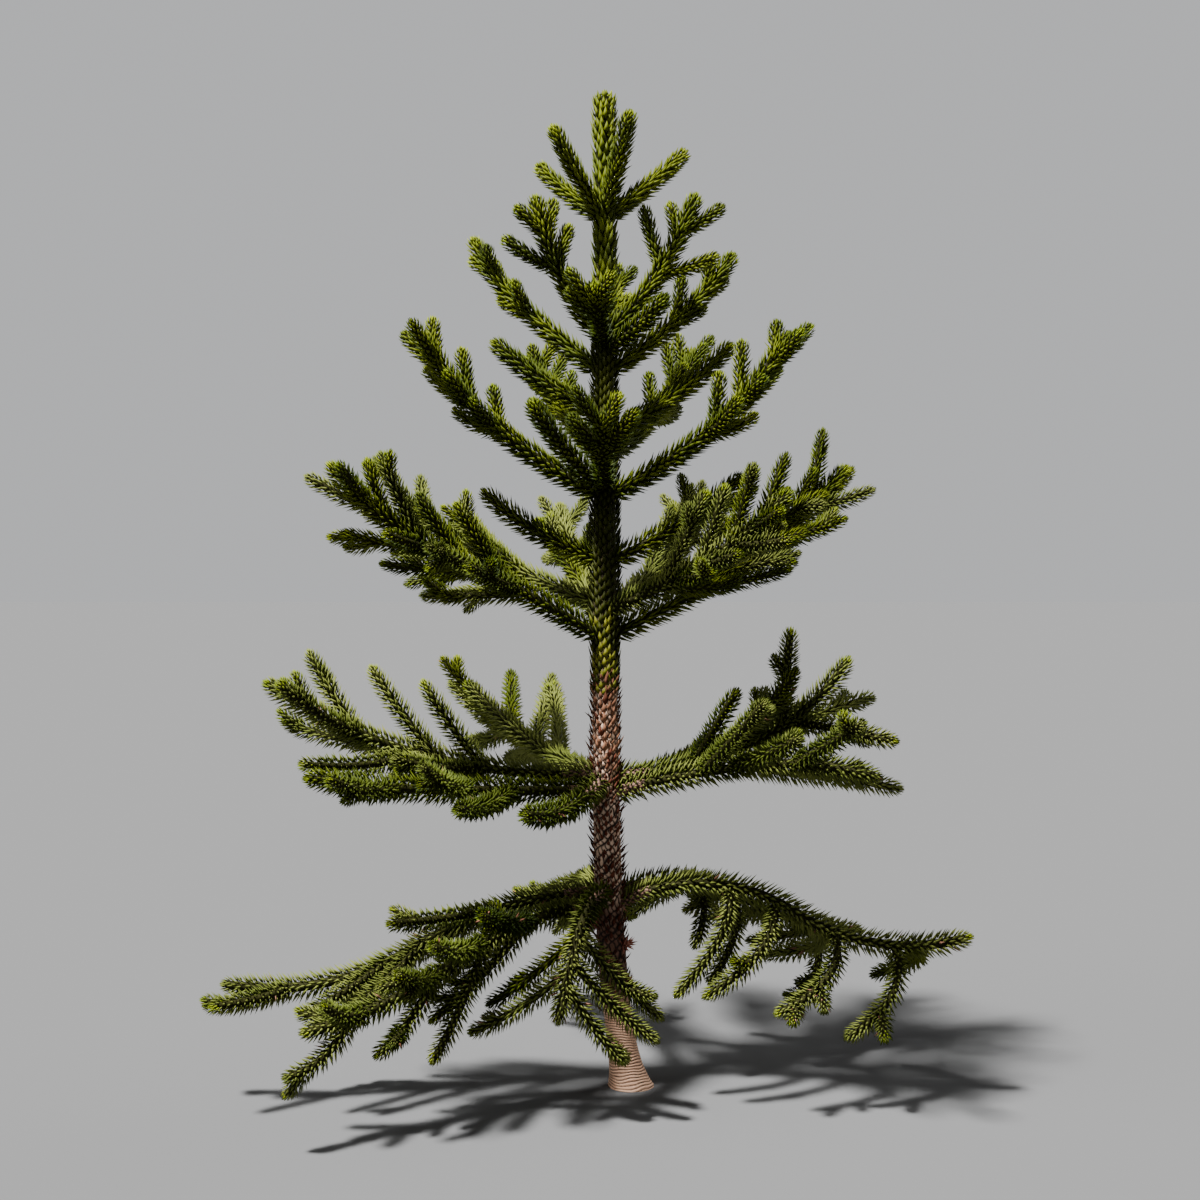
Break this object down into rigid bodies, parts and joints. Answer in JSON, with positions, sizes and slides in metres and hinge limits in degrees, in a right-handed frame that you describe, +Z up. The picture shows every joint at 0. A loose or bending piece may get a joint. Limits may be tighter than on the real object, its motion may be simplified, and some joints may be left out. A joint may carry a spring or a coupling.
{
  "type": "monkey puzzle tree",
  "caption": "Young evergreen conifer with a bare scaly lower trunk and open whorls of rope-like branches clothed in stiff pointed leaves, rooted in level ground.",
  "frame": {"origin": "middle of the flat cut under the trunk, at ground level", "axes": "+Z up along the trunk, +X to the right and +Y away as the picture sees the tree"},
  "size_m": [2.4328, 1.8296, 3.214],
  "materials": {
    "trunk_bark": "rough bark with spiral rows of old leaf bases",
    "bough_bark": "rough, clothed in old leaves",
    "foliage": "waxy dark green leaves, yellower at the shoot tips"
  },
  "bodies": {
    "root": {"trunk": "trunk_bark", "bough_low_1": "bough_bark", "bough_low_2": "bough_bark", "bough_low_3": "bough_bark", "bough_low_4": "bough_bark", "bough_low_5": "bough_bark", "bough_low_6": "bough_bark", "bough_low_7": "bough_bark", "bough_lowest_1": "bough_bark", "bough_lowest_2": "bough_bark", "bough_lowest_3": "bough_bark", "bough_lowest_4": "bough_bark", "bough_lowest_5": "bough_bark", "bough_lowest_6": "bough_bark", "foliage_high_1": "foliage", "foliage_high_2": "foliage", "foliage_high_3": "foliage", "foliage_high_4": "foliage", "foliage_high_5": "foliage", "foliage_high_6": "foliage", "foliage_high_7": "foliage", "foliage_leader": "foliage", "foliage_low_1": "foliage", "foliage_low_2": "foliage", "foliage_low_3": "foliage", "foliage_low_4": "foliage", "foliage_low_5": "foliage", "foliage_low_6": "foliage", "foliage_low_7": "foliage", "foliage_lowest_1": "foliage", "foliage_lowest_2": "foliage", "foliage_lowest_3": "foliage", "foliage_lowest_4": "foliage", "foliage_lowest_5": "foliage", "foliage_lowest_6": "foliage", "foliage_middle_1": "foliage", "foliage_middle_2": "foliage", "foliage_middle_3": "foliage", "foliage_middle_4": "foliage", "foliage_middle_5": "foliage", "foliage_middle_6": "foliage", "foliage_middle_7": "foliage", "foliage_middle_8": "foliage", "foliage_top_1": "foliage", "foliage_top_2": "foliage", "foliage_top_3": "foliage", "foliage_top_4": "foliage", "foliage_top_5": "foliage", "foliage_upper_1": "foliage", "foliage_upper_2": "foliage", "foliage_upper_3": "foliage", "foliage_upper_4": "foliage", "foliage_upper_5": "foliage", "foliage_upper_6": "foliage", "foliage_upper_7": "foliage", "foliage_upper_8": "foliage", "trunk_leaves_lower": "foliage", "trunk_leaves_upper": "foliage"}
  },
  "joints": []
}
